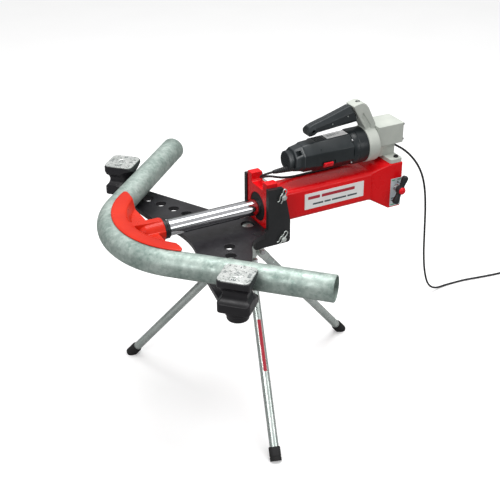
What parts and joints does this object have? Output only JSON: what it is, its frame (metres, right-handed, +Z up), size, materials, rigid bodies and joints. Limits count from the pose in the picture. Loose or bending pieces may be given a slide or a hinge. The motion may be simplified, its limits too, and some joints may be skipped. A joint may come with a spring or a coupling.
{
  "type": "conduit bender",
  "caption": "Electro-hydraulic conduit and pipe bender on a folding tripod, with a former, two swivelling supports and a bent pipe in place.",
  "frame": {"origin": "on the floor under the middle of the machine without its mains lead", "axes": "+X back along the ram's axis from the bent pipe to the pump, +Z up, +Y to the right of someone who looks along +X reversed"},
  "size_m": [1.5002, 0.884, 0.7191],
  "materials": {
    "galvanised": "mottled hot-dip galvanised steel pipe",
    "red_paint": "glossy red enamel on cast and machined steel",
    "chrome": "hard chrome, ground and polished",
    "black_steel": "satin black coated steel",
    "steel": "machined steel",
    "zinc": "bright zinc plate on steel",
    "bronze": "bearing bronze",
    "label": "printed foil label",
    "cast_grey": "light warm-grey textured paint on cast aluminium",
    "black_plastic": "black glass-filled plastic",
    "red_plastic": "red plastic",
    "rubber": "black rubber",
    "copper": "wound copper and steel laminations"
  },
  "bodies": {
    "machine": {"pipe": "galvanised", "cylinder_flange": "red_paint", "cylinder_tube": "red_paint", "gland_bush": "bronze", "rear_block": "red_paint", "tube_label": "label", "valve_plate": "label", "frame_plate": "black_steel", "ear_near": "black_steel", "ear_far": "black_steel", "upper_pin": "zinc", "lower_pin": "zinc", "upper_clip": "zinc", "lower_clip": "zinc", "support_pin_near": "black_steel", "support_pin_far": "black_steel", "tripod_column": "zinc", "motor_housing": "black_plastic", "motor_ring": "black_plastic", "motor_rear_cover": "black_plastic", "stator": "steel", "strain_relief": "rubber", "pump_base": "cast_grey", "base_screw_1": "black_steel", "base_screw_2": "black_steel", "pump_housing": "cast_grey", "pump_collar": "cast_grey", "handle_shell_near": "black_plastic", "handle_shell_far": "black_plastic", "mains_lead": "rubber", "lead_coil": "rubber", "mains_plug": "rubber"},
    "ram_group": {"ram": "chrome", "ram_collar": "black_steel", "piston": "steel", "bending_former": "red_paint"},
    "support_near_group": {"support_near": "black_steel", "size_plate_near": "zinc"},
    "support_far_group": {"support_far": "black_steel", "size_plate_far": "zinc"},
    "release_valve": {"valve_spindle": "steel", "valve_handle": "black_plastic", "valve_cap": "red_plastic"},
    "motor_switch": {"slide_switch": "red_plastic"},
    "motor_rotor": {"rotor": "copper", "cooling_fan": "black_plastic", "eccentric_cam": "steel"},
    "plunger": {"pump_plunger": "steel"},
    "leg_1": {"leg_fork_1": "zinc", "leg_tube_1": "zinc", "foot_1": "rubber", "leg_bolt_1": "steel"},
    "leg_2": {"leg_fork_2": "zinc", "leg_tube_2": "zinc", "foot_2": "rubber", "leg_bolt_2": "steel"},
    "leg_3": {"leg_fork_3": "zinc", "leg_tube_3": "zinc", "foot_3": "rubber", "leg_bolt_3": "steel"}
  },
  "joints": [
    {"name": "ram_slide", "type": "slide", "parent": "machine", "child": "ram_group", "axis": [1, 0, 0], "range_m": [0, 0.18]},
    {"name": "support_near_swivel", "type": "hinge", "parent": "machine", "child": "support_near_group", "pos_m": [-0.22128, -0.32488, 0.498], "axis": [0, 0, 1], "range_deg": [-20, 20]},
    {"name": "support_far_swivel", "type": "hinge", "parent": "machine", "child": "support_far_group", "pos_m": [-0.22128, 0.32488, 0.498], "axis": [0, 0, 1], "range_deg": [-20, 20]},
    {"name": "leg_1_fold", "type": "hinge", "parent": "machine", "child": "leg_1", "pos_m": [-0.03795, -0.03443, 0.37], "axis": [0.9563, -0.2924, 0], "range_deg": [0, 38]},
    {"name": "leg_2_fold", "type": "hinge", "parent": "machine", "child": "leg_2", "pos_m": [0.00765, 0.0081, 0.37], "axis": [-0.225, 0.9744, 0], "range_deg": [0, 38]},
    {"name": "leg_3_fold", "type": "hinge", "parent": "machine", "child": "leg_3", "pos_m": [-0.05198, 0.02633, 0.37], "axis": [-0.7314, -0.682, 0], "range_deg": [0, 38]},
    {"name": "release_valve_turn", "type": "hinge", "parent": "machine", "child": "release_valve", "pos_m": [0.36457, -0.061, 0.492], "axis": [0, 1, 0], "range_deg": [0, 90]},
    {"name": "switch_slide", "type": "slide", "parent": "machine", "child": "motor_switch", "axis": [1, 0, 0], "range_m": [0, 0.006]},
    {"name": "rotor_spin", "type": "hinge", "parent": "machine", "child": "motor_rotor", "pos_m": [0.20258, 0, 0.603], "axis": [1, 0, 0], "continuous": true},
    {"name": "plunger_stroke", "type": "slide", "parent": "machine", "child": "plunger", "axis": [0, 0, 1], "range_m": [-0.003, 0], "stiffness_N_per_m": 600, "springref_m": 0.004}
  ]
}
